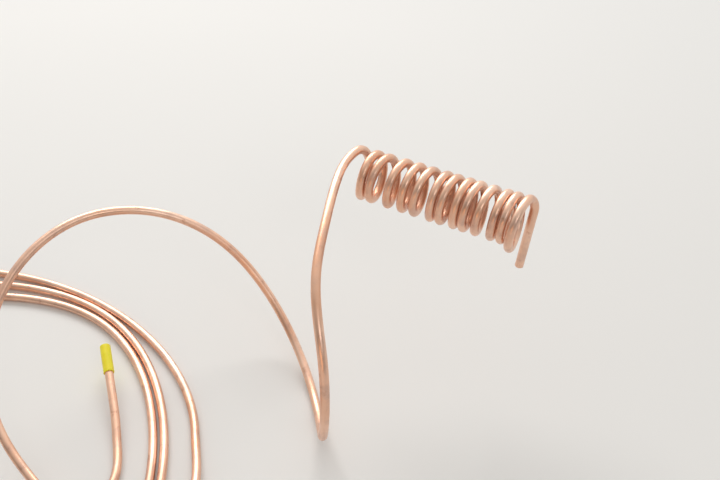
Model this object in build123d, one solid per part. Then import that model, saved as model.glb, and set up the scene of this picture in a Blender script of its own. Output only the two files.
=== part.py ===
from build123d import *
import math
import os

# A length of soft copper tube, partly wound into an open helix and partly lying in loose loops.
# Sizes are in millimetres. The coil's axis runs along X towards the bare cut end, its back is
# towards Y, and Z is up from the floor. Places are measured from the coil's first turn.

# Tube
tube_od = 6.35
tube_wall = 0.762
tube_radius = tube_od / 2
bore_radius = tube_radius - tube_wall
outer_sides = 12
bore_sides = 6

# Wound coil: it was bent by hand around a round bar, which leaves uneven gaps between the turns.
# The first gap is beside the leg and the last beside the cut end, where the tube hangs a little
# slack. The turns are counted from the coil's top at the leg.
bar_diameter = 25.4
bar_clearance = 0.125
coil_radius = bar_diameter / 2 + bar_clearance + tube_radius
coil_height = 146.5
coil_slope = 0.022
coil_gaps = (10, 0.35, 7.8, 4.4, 2.8, 6.3, 0.45, 4.0, 0.45, 3.1, 5.1, 0.35, 0.7, 5)
first_front_place = 5
first_front_turn = 0.75
coil_turns = 13.25
slack = 2.2
slack_turns = 1.25
slack_builds_in = 0.5
steps_per_turn = 8
turns_per_curve = 2

# Cut end, which hangs behind the coil and leans a little towards the leg
cut_end_length = 53
cut_end_direction = (-5, 0, -52)

# Loose loops on the floor: how far the tube lies from their middle at each eighth of a turn,
# with a row for each turn. The last turn is left before it closes.
loops_middle = (-225, -280)
loops_start_angle = 35
loop_reaches = (
    (206, 198, 211, 245, 258, 248, 220, 198),
    (184, 191, 191, 199, 203, 191, 187, 187),
    (176, 183, 174, 174, 156, 147, 141, 141),
)

# A strand that lies on the floor, and one that crosses over it
lying_height = tube_radius
crossing_gap = 1.2
crossing_height = lying_height + tube_od + crossing_gap

# Free run from the coil to the loops: down the leg, through a bend near the floor, over a high
# arch, and down across the loops. The points are chosen by hand.
leg_points = ((-4, -33, 163), (9, -77, 158), (23, -117, 144), (43, -147, 108), (41, -147, 38))
low_bend_point = (14, -106, lying_height + 1.5)
arch_points = (
    (-20, -69, 11),
    (-59, -46, 40),
    (-101, -44, 79),
    (-142, -62, 105),
    (-183, -102, 113),
    (-202, -154, 97),
    (-193, -204, 65),
    (-161, -237, 35),
)
crossing_points = (
    (-115, -255, crossing_height + 7),
    (-74, -264, crossing_height + 2),
    (-44, -256, crossing_height + 0.4),
    (-25, -232, crossing_height - 1.3),
)

# Capped end: it leaves the loops, rises a little from the floor and ends straight
free_end_points = (
    (-82, -262, lying_height),
    (-84, -220, lying_height + 0.2),
    (-102, -192.5, lying_height + 2),
)
capped_end_start = (-120, -171, lying_height + 7)
capped_end_direction = (-36, 39, 10)
capped_end_length = 53

# The walls are made in stretches no longer than this, each through this many cross-sections
longest_stretch = 210
sections_per_stretch = 16

# Soft plastic cap, pushed over the tube until its closed end stops it
cap_length = 25
cap_wall = 0.8
cap_clearance = 0.05
cap_edge_radius = 0.6
cap_bore_radius = tube_radius + cap_clearance
cap_radius = cap_bore_radius + cap_wall


def front_places():
    """Where along the axis each turn passes the coil's front, with the leg's place before them."""
    places = [first_front_place - tube_od - coil_gaps[0]]
    for gap in coil_gaps:
        places.append(places[-1] + tube_od + gap)
    return places


def advance(turns):
    """How far along the axis the tube has come, a number of turns after the leg."""
    places = front_places()
    passed = turns + 1 - first_front_turn
    index = math.floor(passed)
    return places[index] + (passed - index) * (places[index + 1] - places[index])


def coil_point(turns):
    """A point on the wound tube. The slack widens the turn and lowers its middle."""
    slack_share = (turns - coil_turns + slack_turns) / slack_builds_in
    slack_here = slack * min(max(slack_share, 0), 1)
    radius = coil_radius + slack_here
    angle = math.radians(90 - 360 * turns)
    x = advance(turns)
    y = radius * math.cos(angle)
    z = coil_height - coil_slope * x - slack_here + radius * math.sin(angle)
    return Vector(x, y, z)


def coil_direction(turns):
    """The way the tube runs there, towards the leg."""
    step = 0.001
    return (coil_point(turns - step) - coil_point(turns + step)).normalized()


def smooth_curve(points, start_direction, end_direction):
    """A curve through the points that starts and ends in the given directions."""
    directions = [start_direction.normalized(), end_direction.normalized()]
    return Spline(*points, tangents=directions, tangent_scalars=[1, 1]).edge()


def coil_curves():
    """The wound turns, from the cut end to the leg, as curves of a few turns each."""
    steps = round(coil_turns * steps_per_turn)
    steps_per_curve = turns_per_curve * steps_per_turn
    curves = []
    for first in range(0, steps, steps_per_curve):
        last = min(first + steps_per_curve, steps)
        turns = [coil_turns - step / steps_per_turn for step in range(first, last + 1)]
        start_direction = coil_direction(turns[0]) if first else -Vector(*cut_end_direction)
        points = [coil_point(turn) for turn in turns]
        curves.append(smooth_curve(points, start_direction, coil_direction(turns[-1])))
    return curves


def loop_points():
    """Points on the loose loops, an eighth of a turn apart."""
    reaches = [reach for row in loop_reaches for reach in row]
    points = []
    for step, reach in enumerate(reaches):
        angle = math.radians(loops_start_angle + 360 * step / len(loop_reaches[0]))
        x = loops_middle[0] + reach * math.cos(angle)
        y = loops_middle[1] + reach * math.sin(angle)
        points.append(Vector(x, y, lying_height))
    return points


def centre_line():
    """The centre line between the two straight ends, as a chain of smooth curves."""
    loops_start = math.radians(loops_start_angle)
    loops_direction = Vector(-math.sin(loops_start), math.cos(loops_start), 0)
    loops = loop_points()
    leg_and_arch = [coil_point(0), *leg_points, low_bend_point, *arch_points]
    free_run = [*leg_and_arch, *crossing_points, loops[0]]
    last_run = [*loops, *free_end_points, capped_end_start]
    return Wire(
        [
            *coil_curves(),
            smooth_curve(free_run, coil_direction(0), loops_direction),
            smooth_curve(last_run, loops_direction, Vector(*capped_end_direction)),
        ]
    )


def plane_on(line, place):
    """A plane square across the line at its start (0) or its end (1)."""
    return Plane(origin=line @ place, z_dir=line % place)


def polygon_radius(radius, sides):
    """Corner radius of the regular polygon that has the area of a circle."""
    return radius * math.sqrt(2 * math.pi / (sides * math.sin(2 * math.pi / sides)))


def sections(line):
    """Planes square across the line, none of them turned about it against the one before. Each
    list of planes is for one stretch of the tube and starts with the last one of the stretch before."""
    planes = [plane_on(line, 0)]
    stretches = []
    for edge in line.edges():
        stretch_count = math.ceil(edge.length / longest_stretch)
        count = stretch_count * sections_per_stretch
        for step in range(1, count + 1):
            across = planes[-1].x_dir
            ahead = edge % (step / count)
            x_dir = across - ahead * across.dot(ahead)
            planes.append(Plane(origin=edge @ (step / count), x_dir=x_dir, z_dir=ahead))
            if step % sections_per_stretch == 0:
                stretches.append(planes[-1 - sections_per_stretch :])
    return stretches


def corners(plane, radius, sides):
    """The corners, on the plane, of a polygon that has the area of a circle."""
    reach = polygon_radius(radius, sides)
    turns = [2 * math.pi * side / sides for side in range(sides)]
    return [plane.from_local_coords((reach * math.cos(a), reach * math.sin(a), 0)) for a in turns]


def wall(stretch, radius, sides):
    """The flat-sided faces of one stretch."""
    rows = [corners(plane, radius, sides) for plane in stretch]
    start, end = stretch[0].z_dir, stretch[-1].z_dir
    edges = [smooth_curve(points, start, end) for points in zip(*rows)]
    return [Face.make_surface_from_curves(edges[side - 1], edges[side]) for side in range(sides)]


def ring(plane):
    """The end face of the bent tube."""
    outside = Wire.make_polygon(corners(plane, tube_radius, outer_sides))
    inside = Wire.make_polygon(corners(plane, bore_radius, bore_sides))
    return Face(outside, [inside])


def bent_tube(line):
    """All the bent tube. Its walls have flat sides, with the areas of the round ones, to keep
    the many turns light; the walls are joined by a ring of metal at each end."""
    stretches = sections(line)
    faces = [ring(stretches[0][0]), ring(stretches[-1][-1])]
    for stretch in stretches:
        faces += wall(stretch, tube_radius, outer_sides) + wall(stretch, bore_radius, bore_sides)
    return Solid(Shell(faces))


def straight_end(line, place, length):
    """A straight round end of the tube, square cut."""
    ring = Circle(tube_radius) - Circle(bore_radius)
    return extrude(plane_on(line, place) * ring, amount=length)


def copper_tube(line):
    """The whole tube as one solid with its bore open from end to end."""
    cut_end = straight_end(line, 0, -cut_end_length)
    capped_end = straight_end(line, 1, capped_end_length)
    return bent_tube(line).fuse(cut_end, capped_end)


def end_cap(line):
    """The cap, seated on the tube's end."""
    closed_end = cap_wall
    tip = plane_on(line, 1).offset(capped_end_length + closed_end)
    body = extrude(tip * Circle(cap_radius), amount=-cap_length)
    rims = body.edges().filter_by(GeomType.CIRCLE)
    body = fillet(rims, cap_edge_radius)
    mouth = tip.offset(-cap_length)
    return body - extrude(mouth * Circle(cap_bore_radius), amount=cap_length - closed_end)


def main():
    line = centre_line()
    tube = copper_tube(line)
    cap = end_cap(line)
    box = tube.bounding_box()
    to_frame = Pos(-box.center().X, -box.center().Y, -box.min.Z)
    os.makedirs("parts", exist_ok=True)
    export_step(to_frame * tube, "parts/copper_tube.step")
    export_step(to_frame * cap, "parts/end_cap.step")


main()
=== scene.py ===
import math

import bmesh
import bpy
import numpy as np
from mathutils import Matrix, Vector

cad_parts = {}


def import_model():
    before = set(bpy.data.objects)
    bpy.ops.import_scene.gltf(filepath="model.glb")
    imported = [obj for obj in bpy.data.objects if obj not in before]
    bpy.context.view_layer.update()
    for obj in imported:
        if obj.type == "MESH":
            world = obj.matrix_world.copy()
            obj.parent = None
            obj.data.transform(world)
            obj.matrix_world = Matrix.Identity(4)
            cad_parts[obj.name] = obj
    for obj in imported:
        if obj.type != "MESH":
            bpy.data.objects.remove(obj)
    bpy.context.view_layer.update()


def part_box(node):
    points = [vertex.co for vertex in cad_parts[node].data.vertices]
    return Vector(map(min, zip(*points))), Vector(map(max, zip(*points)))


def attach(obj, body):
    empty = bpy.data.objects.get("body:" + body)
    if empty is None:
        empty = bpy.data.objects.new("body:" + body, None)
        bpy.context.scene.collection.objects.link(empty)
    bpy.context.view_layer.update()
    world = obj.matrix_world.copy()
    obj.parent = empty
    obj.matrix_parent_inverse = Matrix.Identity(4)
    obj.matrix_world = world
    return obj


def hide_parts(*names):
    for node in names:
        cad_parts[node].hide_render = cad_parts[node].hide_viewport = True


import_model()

# Sizes are in millimetres, as in the part's source, until a mesh is made
MM = 0.001
TUBE_RADIUS = 3.175
BORE_RADIUS = 2.413
CUT_RIM_DEPTH = 0.35

# Wound coil
COIL_RADIUS = 16
COIL_HEIGHT = 146.5
COIL_SLOPE = 0.022
COIL_GAPS = (10, 0.35, 7.8, 4.4, 2.8, 6.3, 0.45, 4.0, 0.45, 3.1, 5.1, 0.35, 0.7, 5)
FIRST_FRONT_PLACE = 5
FIRST_FRONT_TURN = 0.75
COIL_TURNS = 13.25
STEPS_PER_TURN = 8
TURNS_PER_CURVE = 2
SLACK = 2.2
SLACK_TURNS = 1.25
SLACK_BUILDS_IN = 0.5
CUT_END_LENGTH = 53
CUT_END_DIRECTION = (-5, 0, -52)

# Loose loops: how far the tube lies from their middle at each eighth of a turn
LOOPS_MIDDLE = (-225, -280)
LOOPS_START_ANGLE = 35
LOOP_REACHES = (
    (206, 198, 211, 245, 258, 248, 220, 198),
    (184, 191, 191, 199, 203, 191, 187, 187),
    (176, 183, 174, 174, 156, 147, 141, 141),
)

# Heights of the middle of a strand that lies on the floor, and of one that crosses over it
LYING = TUBE_RADIUS
CROSSING = 10.725

# Free run and capped end
FREE_RUN = (
    (-4, -33, 163),
    (9, -77, 158),
    (23, -117, 144),
    (43, -147, 108),
    (41, -147, 38),
    (14, -106, LYING + 1.5),
    (-20, -69, 11),
    (-59, -46, 40),
    (-101, -44, 79),
    (-142, -62, 105),
    (-183, -102, 113),
    (-202, -154, 97),
    (-193, -204, 65),
    (-161, -237, 35),
    (-115, -255, CROSSING + 7),
    (-74, -264, CROSSING + 2),
    (-44, -256, CROSSING + 0.4),
    (-25, -232, CROSSING - 1.3),
)
FREE_END = (
    (-82, -262, LYING),
    (-84, -220, LYING + 0.2),
    (-102, -192.5, LYING + 2),
    (-120, -171, LYING + 7),
)
CAPPED_DIRECTION = (-36, 39, 10)
CAPPED_LENGTH = 53

# Cap: CAP_EDGE is the radius of its rounded closed end, CAP_DIP the end's dip at its middle and
# near its edge, and CAP_STEPS are the places of the wall's rings, counted from the open rim
CAP_LENGTH = 25
CAP_WALL = 0.8
CAP_CLEARANCE = 0.05
CAP_BORE_RADIUS = TUBE_RADIUS + CAP_CLEARANCE
CAP_RADIUS = CAP_BORE_RADIUS + CAP_WALL
CAP_EDGE = 1.1
CAP_DIP = (0.05, 0.02)
CAP_RIM = 0.4
CAP_RIM_DEPTH = 0.45
CAP_STEPS = (20, 15, 10, 5, 2)

# Camera: its place by the coil's first turn in millimetres, its tilt and its turn in degrees
CAMERA_PLACE = (241.18, -500.64, 550)
CAMERA_TILT = 40
CAMERA_TURN = 26
CAMERA_LENS = 47.5

# Floor and surroundings. The fade is the distance from the object in metres over which the
# floor turns into the backdrop's tone.
FLOOR_REACH = 12
FLOOR_COLOUR = (0.86, 0.86, 0.85, 1)
FLOOR_FADE = (0.7, 1.6)
BACKDROP_COLOUR = (0.80, 0.79, 0.765, 1)

# Light: the strength of the surroundings, then what gloss shows of them, which rises from the
# dim side to the bright one, and the lamps with their place and size in metres, power and colour
AMBIENT = 0.575
BRIGHT_SIDE = (-0.3, 0.8, 0.52)
BRIGHT_SIDE_RANGE = (-0.5, 0.7)
GLOSS_RANGE = (0.3, 1.25)
LAMP_TARGET = (0, 0, 0.05)
LAMPS = (
    ("key", (-1.5, 2.3, 2.2), (2.8, 1.8), 76, (1, 0.97, 0.94)),
    ("fill", (1.9, -1.3, 1.8), (1.4, 1.0), 8, (1, 1, 1)),
    ("low", (0.4, -1.6, 0.45), (1.4, 0.35), 3, (1, 0.58, 0.30)),
)

# Colours
BLACK = (0, 0, 0)
WHITE = (1, 1, 1)
COPPER_TONES = ((0.3, (0.76, 0.42, 0.27)), (0.5, (0.84, 0.53, 0.385)), (0.7, (0.91, 0.63, 0.49)))
TARNISH = (0.60, 0.40, 0.33)
TARNISH_COVER = (0.6, 0.6, 0.6)
SPOT = (0.62, 0.31, 0.19)
CAP_TONES = ((0.3, (0.90, 0.78, 0.015)), (0.7, (0.96, 0.86, 0.04)))

# Meshes: distances between the tube's rings in millimetres, and numbers of sides and rings
COIL_STEP = 2.4
RUN_STEP = 4
SIDES = 32
CUT_END_RINGS = 14
CAPPED_END_RINGS = 13
BORE_RINGS = 8
CUT_RIM_RINGS = 7
CAP_SIDES = 48
CAP_EDGE_RINGS = 9


def unit(vector):
    """The vector, one long."""
    vector = np.array(vector, float)
    return vector / np.linalg.norm(vector)


def advance(turns):
    """How far along the coil's axis the tube has come, a number of turns after the leg."""
    places = [FIRST_FRONT_PLACE - 2 * TUBE_RADIUS - COIL_GAPS[0]]
    for gap in COIL_GAPS:
        places.append(places[-1] + 2 * TUBE_RADIUS + gap)
    passed = turns + 1 - FIRST_FRONT_TURN
    index = min(math.floor(passed), len(places) - 2)
    return places[index] + (passed - index) * (places[index + 1] - places[index])


def coil_point(turns):
    """A point on the wound tube. The slack widens the turn and lowers its middle."""
    share = (turns - COIL_TURNS + SLACK_TURNS) / SLACK_BUILDS_IN
    slack = SLACK * min(max(share, 0), 1)
    radius = COIL_RADIUS + slack
    angle = math.radians(90 - 360 * turns)
    x = advance(turns)
    height = COIL_HEIGHT - COIL_SLOPE * x - slack + radius * math.sin(angle)
    return np.array([x, radius * math.cos(angle), height])


def coil_direction(turns):
    """The way the tube runs there, towards the leg."""
    step = 0.001
    return unit(coil_point(turns - step) - coil_point(turns + step))


def loop_points():
    """Points on the loose loops, an eighth of a turn apart."""
    reaches = [reach for row in LOOP_REACHES for reach in row]
    points = []
    for step, reach in enumerate(reaches):
        angle = math.radians(LOOPS_START_ANGLE + 360 * step / len(LOOP_REACHES[0]))
        x = LOOPS_MIDDLE[0] + reach * math.cos(angle)
        y = LOOPS_MIDDLE[1] + reach * math.sin(angle)
        points.append((x, y, LYING))
    return points


def smooth_curve(points, start_direction, end_direction, step):
    """Points about a step apart along the smooth curve through the given points."""
    points = np.array(points, float)
    chords = np.linalg.norm(np.diff(points, axis=0), axis=1)
    count = len(points)
    system = np.zeros((count, count))
    right = np.zeros((count, 3))
    system[0, 0] = system[-1, -1] = 1
    right[0], right[-1] = unit(start_direction), unit(end_direction)
    for i in range(1, count - 1):
        before, after = chords[i - 1], chords[i]
        system[i, i - 1 : i + 2] = 1 / before, 2 / before + 2 / after, 1 / after
        arriving = (points[i] - points[i - 1]) / before**2
        leaving = (points[i + 1] - points[i]) / after**2
        right[i] = 3 * arriving + 3 * leaving
    slopes = np.linalg.solve(system, right)
    line = [points[0]]
    for i, chord in enumerate(chords):
        pieces = max(2, math.ceil(chord / step))
        for t in np.arange(1, pieces + 1) / pieces:
            start = (1 + 2 * t) * (1 - t) ** 2 * points[i] + t * (1 - t) ** 2 * chord * slopes[i]
            end = t * t * (3 - 2 * t) * points[i + 1] + t * t * (t - 1) * chord * slopes[i + 1]
            line.append(start + end)
    return line


def centre_line():
    """The whole centre line, from the cut end to the tip of the capped end."""
    line = []
    steps = round(COIL_TURNS * STEPS_PER_TURN)
    steps_per_curve = TURNS_PER_CURVE * STEPS_PER_TURN
    for first in range(0, steps, steps_per_curve):
        last = min(first + steps_per_curve, steps)
        turns = [COIL_TURNS - step / STEPS_PER_TURN for step in range(first, last + 1)]
        points = [coil_point(t) for t in turns]
        start = coil_direction(turns[0]) if first else -np.array(CUT_END_DIRECTION)
        curve = smooth_curve(points, start, coil_direction(turns[-1]), COIL_STEP)
        line += curve[1:] if line else curve
    across = math.radians(LOOPS_START_ANGLE)
    loops_direction = (-math.sin(across), math.cos(across), 0)
    loops = loop_points()
    run = [coil_point(0), *FREE_RUN, loops[0]]
    line += smooth_curve(run, coil_direction(0), loops_direction, RUN_STEP)[1:]
    line += smooth_curve([*loops, *FREE_END], loops_direction, CAPPED_DIRECTION, RUN_STEP)[1:]
    steps = np.linspace(CUT_END_LENGTH, 0, CUT_END_RINGS + 1)[:-1]
    cut_end = [line[0] + unit(CUT_END_DIRECTION) * step for step in steps]
    steps = np.linspace(0, CAPPED_LENGTH, CAPPED_END_RINGS + 1)[1:]
    capped_end = [line[-1] + unit(CAPPED_DIRECTION) * step for step in steps]
    return np.array(cut_end + line + capped_end)


def to_frame(line):
    """The line in metres, moved to where the CAD's tube is."""
    low, high = (np.array(corner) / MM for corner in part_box("copper_tube"))
    shift = (low + high - line.min(0) - line.max(0)) / 2
    shift[2] = low[2] + TUBE_RADIUS - line[:, 2].min()
    return (line + shift) * MM


def side_frames(line):
    """For each point, its direction and two sideways directions that don't twist along the way."""
    ahead = np.gradient(line, axis=0)
    ahead /= np.linalg.norm(ahead, axis=1)[:, None]
    side = np.zeros_like(line)
    level = (0.3, 1, 0)
    side[0] = unit(np.cross(ahead[0], level))
    for i in range(1, len(line)):
        kept = side[i - 1] - ahead[i] * np.dot(side[i - 1], ahead[i])
        side[i] = kept / np.linalg.norm(kept)
    return ahead, side, np.cross(ahead, side)


def distances(line):
    """How far along the line each of its points is."""
    return np.concatenate([[0], np.cumsum(np.linalg.norm(np.diff(line, axis=0), axis=1))])


def copper_tube(line):
    """The round tube: its outside, the rounded rim of the cut, and the first stretch of the bore.
    The mesh is closed deep in the bore and at the tip inside the cap."""
    ahead, side, other = side_frames(line)
    along = distances(line)
    around = np.linspace(0, 2 * math.pi, SIDES, endpoint=False)[None, :, None]
    ring = side[:, None] * np.cos(around) + other[:, None] * np.sin(around)
    rings = []
    places = []

    def add(index, radius, back=0.0):
        rings.append(line[index] + ring[index] * radius * MM - ahead[index] * back * MM)
        places.append(along[index] - back * MM)

    rim = (TUBE_RADIUS - BORE_RADIUS) / 2
    for index in range(BORE_RINGS, 0, -1):
        add(index, BORE_RADIUS)
    for turn in np.radians(np.linspace(-90, 90, CUT_RIM_RINGS)):
        back = CUT_RIM_DEPTH * (math.cos(turn) - 1)
        add(0, BORE_RADIUS + rim + rim * math.sin(turn), back)
    for index in range(1, len(line)):
        add(index, TUBE_RADIUS)
    last = len(rings) - 1
    corners = [[(0, s) for s in reversed(range(SIDES))]]
    for r in range(last):
        corners += [[(r, s), (r, s + 1), (r + 1, s + 1), (r + 1, s)] for s in range(SIDES)]
    corners.append([(last, s) for s in range(SIDES)])
    faces = [[row * SIDES + column % SIDES for row, column in face] for face in corners]
    mesh = bpy.data.meshes.new("tube")
    mesh.from_pydata(np.concatenate(rings).tolist(), [], faces)
    layer = mesh.uv_layers.new(name="along")
    uv = [(column / SIDES, places[row]) for face in corners for row, column in face]
    layer.data.foreach_set("uv", np.ravel(uv))
    mesh.polygons.foreach_set("use_smooth", [True] * len(faces))
    mesh.update()
    tube = bpy.data.objects.new("tube", mesh)
    bpy.context.scene.collection.objects.link(tube)
    return tube


def lathe(name, profile, sides):
    """A turned body from (distance along, radius) pairs, in millimetres, along +Z."""
    mesh = bpy.data.meshes.new(name)
    body = bmesh.new()
    rows = []
    for z, radius in profile:
        if radius == 0:
            rows.append([body.verts.new((0, 0, z * MM))])
            continue
        turn = [2 * math.pi * s / sides for s in range(sides)]
        circle = [(radius * math.cos(a), radius * math.sin(a), z) for a in turn]
        rows.append([body.verts.new(Vector(point) * MM) for point in circle])
    for low, high in zip(rows, rows[1:]):
        for s in range(sides):
            t = (s + 1) % sides
            corners = [(low, s), (low, t), (high, t), (high, s)]
            corners = dict.fromkeys(row[place % len(row)] for row, place in corners)
            body.faces.new(list(corners))
    bmesh.ops.recalc_face_normals(body, faces=body.faces)
    body.to_mesh(mesh)
    body.free()
    mesh.polygons.foreach_set("use_smooth", [True] * len(mesh.polygons))
    piece = bpy.data.objects.new(name, mesh)
    bpy.context.scene.collection.objects.link(piece)
    return piece


def end_cap(line):
    """The soft cap: a closed end that dips a little in its middle, a rounded edge and rim."""
    middle_dip, outer_dip = CAP_DIP
    dip = [(CAP_LENGTH - middle_dip, 0), (CAP_LENGTH - outer_dip, CAP_RADIUS - 2 * CAP_EDGE)]
    edge = []
    for turn in np.radians(np.linspace(0, 90, CAP_EDGE_RINGS)):
        z = CAP_LENGTH - CAP_EDGE + CAP_EDGE * math.cos(turn)
        edge.append((z, CAP_RADIUS - CAP_EDGE + CAP_EDGE * math.sin(turn)))
    wall = [(z, CAP_RADIUS) for z in CAP_STEPS]
    rim = []
    for turn in np.radians(np.linspace(90, 270, CAP_EDGE_RINGS)):
        z = CAP_RIM_DEPTH + CAP_RIM_DEPTH * math.cos(turn)
        rim.append((z, CAP_RADIUS - CAP_RIM + CAP_RIM * math.sin(turn)))
    depth = CAP_LENGTH - CAP_WALL
    bore = [(CAP_STEPS[-1], CAP_BORE_RADIUS), (depth, CAP_BORE_RADIUS), (depth, 0)]
    cap = lathe("cap", dip + edge + wall + rim + bore, CAP_SIDES)
    direction = Vector(unit(CAPPED_DIRECTION))
    start = Vector(line[-1]) - direction * depth * MM
    turned = direction.to_track_quat("Z", "Y").to_matrix().to_4x4()
    cap.data.transform(Matrix.Translation(start) @ turned)
    return cap


def new_material(name):
    """A new material, with its nodes and their links."""
    material = bpy.data.materials.new(name)
    material.use_nodes = True
    return material, material.node_tree.nodes, material.node_tree.links


def noise(nodes, links, vector, scale, detail, roughness=0.55):
    """Smooth patches, from 0 to 1."""
    node = nodes.new("ShaderNodeTexNoise")
    node.inputs["Scale"].default_value = scale
    node.inputs["Detail"].default_value = detail
    node.inputs["Roughness"].default_value = roughness
    links.new(vector, node.inputs["Vector"])
    return node.outputs["Fac"]


def ramp(nodes, links, factor, stops):
    """A colour for each value of the factor, from (value, colour) pairs."""
    node = nodes.new("ShaderNodeValToRGB")
    elements = node.color_ramp.elements
    while len(elements) < len(stops):
        elements.new(0.5)
    for element, (position, colour) in zip(elements, stops):
        element.position = position
        element.color = (*colour, 1)
    links.new(factor, node.inputs["Fac"])
    return node.outputs["Color"]


def mapped(nodes, links, vector, scale):
    """The same place, scaled along each axis."""
    node = nodes.new("ShaderNodeMapping")
    node.inputs["Scale"].default_value = scale
    links.new(vector, node.inputs["Vector"])
    return node.outputs["Vector"]


def value_range(nodes, links, value, old, new):
    """The value, stretched from the old range onto the new one and held within it."""
    node = nodes.new("ShaderNodeMapRange")
    for name, number in zip(("From Min", "From Max", "To Min", "To Max"), (*old, *new)):
        node.inputs[name].default_value = number
    links.new(value, node.inputs["Value"])
    return node.outputs["Result"]


def mix(nodes, links, factor, first, second, kind="RGBA"):
    """From the first to the second by the factor. Each is a node's output or a constant."""
    node = nodes.new("ShaderNodeMix")
    node.data_type = kind
    for name, value in (("Factor", factor), ("A", first), ("B", second)):
        if isinstance(value, bpy.types.NodeSocket):
            links.new(value, node.inputs[name])
        else:
            node.inputs[name].default_value = value if isinstance(value, float) else (*value, 1)
    return node.outputs["Result"]


def calculate(nodes, links, operation, first, second):
    """A sum, product or other operation on two outputs."""
    node = nodes.new("ShaderNodeMath")
    node.operation = operation
    links.new(first, node.inputs[0])
    links.new(second, node.inputs[1])
    return node.outputs["Value"]


def bump(nodes, links, height, strength, distance):
    """Fine relief from the height."""
    node = nodes.new("ShaderNodeBump")
    node.inputs["Strength"].default_value = strength
    node.inputs["Distance"].default_value = distance
    links.new(height, node.inputs["Height"])
    return node


def copper_material():
    """Bright drawn copper with a thin uneven tarnish, lengthwise draw marks and small scuffs."""
    material, nodes, links = new_material("copper")
    shader = nodes["Principled BSDF"]
    shader.inputs["Metallic"].default_value = 1
    place = nodes.new("ShaderNodeTexCoord").outputs["Object"]
    along = nodes.new("ShaderNodeUVMap")
    along.uv_map = "along"
    patches = noise(nodes, links, place, scale=22, detail=4)
    colour = ramp(nodes, links, patches, COPPER_TONES)
    haze = noise(nodes, links, place, scale=75, detail=5, roughness=0.6)
    cover = ramp(nodes, links, haze, ((0.48, BLACK), (0.66, TARNISH_COVER)))
    colour = mix(nodes, links, cover, colour, TARNISH)
    specks = noise(nodes, links, place, scale=150, detail=6, roughness=0.65)
    cover = ramp(nodes, links, specks, ((0.60, BLACK), (0.75, WHITE)))
    colour = mix(nodes, links, cover, colour, SPOT)
    links.new(colour, shader.inputs["Base Color"])
    lengthwise = mapped(nodes, links, along.outputs["UV"], scale=(60, 30, 1))
    marks = noise(nodes, links, lengthwise, scale=1, detail=5, roughness=0.6)
    smudges = noise(nodes, links, place, scale=60, detail=5, roughness=0.6)
    smudged = value_range(nodes, links, smudges, old=(0.35, 0.7), new=(0.25, 0.40))
    marked = value_range(nodes, links, marks, old=(0.3, 0.75), new=(0.0, 0.1))
    links.new(calculate(nodes, links, "ADD", smudged, marked), shader.inputs["Roughness"])
    swell = noise(nodes, links, place, scale=90, detail=2)
    waves = bump(nodes, links, swell, strength=0.12, distance=0.0015)
    scratches = bump(nodes, links, marks, strength=0.1, distance=0.0002)
    links.new(waves.outputs["Normal"], scratches.inputs["Normal"])
    links.new(scratches.outputs["Normal"], shader.inputs["Normal"])
    return material


def cap_material():
    """Soft moulded plastic in lemon yellow, a little handled."""
    material, nodes, links = new_material("cap_plastic")
    shader = nodes["Principled BSDF"]
    place = nodes.new("ShaderNodeTexCoord").outputs["Object"]
    patches = noise(nodes, links, place, scale=120, detail=4)
    links.new(ramp(nodes, links, patches, CAP_TONES), shader.inputs["Base Color"])
    handled = value_range(nodes, links, patches, old=(0.3, 0.7), new=(0.34, 0.5))
    links.new(handled, shader.inputs["Roughness"])
    shader.inputs["Subsurface Weight"].default_value = 0.15
    shader.inputs["Subsurface Scale"].default_value = 0.001
    grain = noise(nodes, links, place, scale=900, detail=3)
    relief = bump(nodes, links, grain, strength=0.15, distance=0.0003)
    links.new(relief.outputs["Normal"], shader.inputs["Normal"])
    return material


def seen(nodes, links):
    """Where something is seen by the camera or in gloss, 1, and where it only gives light, 0."""
    rays = nodes.new("ShaderNodeLightPath").outputs
    return calculate(nodes, links, "MAXIMUM", rays["Is Camera Ray"], rays["Is Glossy Ray"])


def floor_material():
    """Plain pale floor. Far from the object it turns into the even tone of the backdrop."""
    material, nodes, links = new_material("floor")
    shader = nodes["Principled BSDF"]
    shader.inputs["Base Color"].default_value = FLOOR_COLOUR
    shader.inputs["Roughness"].default_value = 0.7
    even = nodes.new("ShaderNodeEmission")
    even.inputs["Color"].default_value = BACKDROP_COLOUR
    distance = nodes.new("ShaderNodeVectorMath")
    distance.operation = "LENGTH"
    links.new(nodes.new("ShaderNodeTexCoord").outputs["Object"], distance.inputs[0])
    fade = value_range(nodes, links, distance.outputs["Value"], FLOOR_FADE, (0, 1))
    share = calculate(nodes, links, "MULTIPLY", fade, seen(nodes, links))
    blended = nodes.new("ShaderNodeMixShader")
    links.new(share, blended.inputs[0])
    links.new(shader.outputs["BSDF"], blended.inputs[1])
    links.new(even.outputs["Emission"], blended.inputs[2])
    links.new(blended.outputs["Shader"], nodes["Material Output"].inputs["Surface"])
    return material


def floor():
    """The level floor, which belongs to the stage and not to the object."""
    mesh = bpy.data.meshes.new("floor")
    around = ((-1, -1, 0), (1, -1, 0), (1, 1, 0), (-1, 1, 0))
    mesh.from_pydata([Vector(corner) * FLOOR_REACH for corner in around], [], [(0, 1, 2, 3)])
    piece = bpy.data.objects.new("floor", mesh)
    bpy.context.scene.collection.objects.link(piece)
    mesh.materials.append(floor_material())


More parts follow.
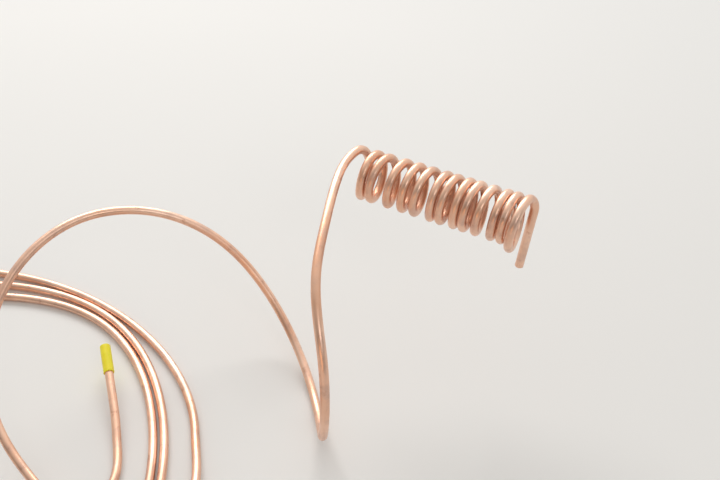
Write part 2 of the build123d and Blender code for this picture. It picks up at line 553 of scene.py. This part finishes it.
def area_light(name, place, size, power, colour):
    """A soft lamp that points at the object."""
    data = bpy.data.lights.new(name, "AREA")
    data.shape = "RECTANGLE"
    data.size, data.size_y = size
    data.energy = power
    data.color = colour
    lamp = bpy.data.objects.new(name, data)
    lamp.location = place
    towards = Vector(LAMP_TARGET) - Vector(place)
    lamp.rotation_euler = towards.to_track_quat("-Z", "Y").to_euler()
    bpy.context.scene.collection.objects.link(lamp)


def world():
    """Soft studio surroundings. Gloss shows them brighter at the back, the window's side."""
    made = bpy.data.worlds.new("studio")
    made.use_nodes = True
    nodes, links = made.node_tree.nodes, made.node_tree.links
    background = nodes["Background"]
    background.inputs["Color"].default_value = BACKDROP_COLOUR
    towards_back = nodes.new("ShaderNodeVectorMath")
    towards_back.operation = "DOT_PRODUCT"
    towards_back.inputs[1].default_value = BRIGHT_SIDE
    links.new(nodes.new("ShaderNodeTexCoord").outputs["Generated"], towards_back.inputs[0])
    side = towards_back.outputs["Value"]
    gloss = value_range(nodes, links, side, BRIGHT_SIDE_RANGE, GLOSS_RANGE)
    rays = nodes.new("ShaderNodeLightPath").outputs
    strength = mix(nodes, links, rays["Is Glossy Ray"], AMBIENT, gloss, "FLOAT")
    strength = mix(nodes, links, rays["Is Camera Ray"], strength, 1.0, "FLOAT")
    links.new(strength, background.inputs["Strength"])
    bpy.context.scene.world = made


def camera(shift):
    """The photograph's place, turned from the coil's square view and tilted down."""
    data = bpy.data.cameras.new("camera")
    data.sensor_width = 36
    data.lens = CAMERA_LENS
    data.clip_start, data.clip_end = 0.01, 50
    made = bpy.data.objects.new("camera", data)
    made.location = Vector(CAMERA_PLACE) * MM + shift
    made.rotation_euler = (math.radians(90 - CAMERA_TILT), 0, math.radians(CAMERA_TURN))
    bpy.context.scene.collection.objects.link(made)
    bpy.context.scene.camera = made


def main():
    raw = centre_line()
    line = to_frame(raw)
    shift = Vector(line[0] - raw[0] * MM)
    camera(shift)
    tube = copper_tube(line)
    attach(tube, "root")
    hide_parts("copper_tube")
    tube.data.materials.append(copper_material())
    cap = end_cap(line)
    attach(cap, "root")
    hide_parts("end_cap")
    cap.data.materials.append(cap_material())
    floor()
    world()
    for lamp in LAMPS:
        area_light(*lamp)
    bpy.context.scene.view_settings.view_transform = "Standard"


main()
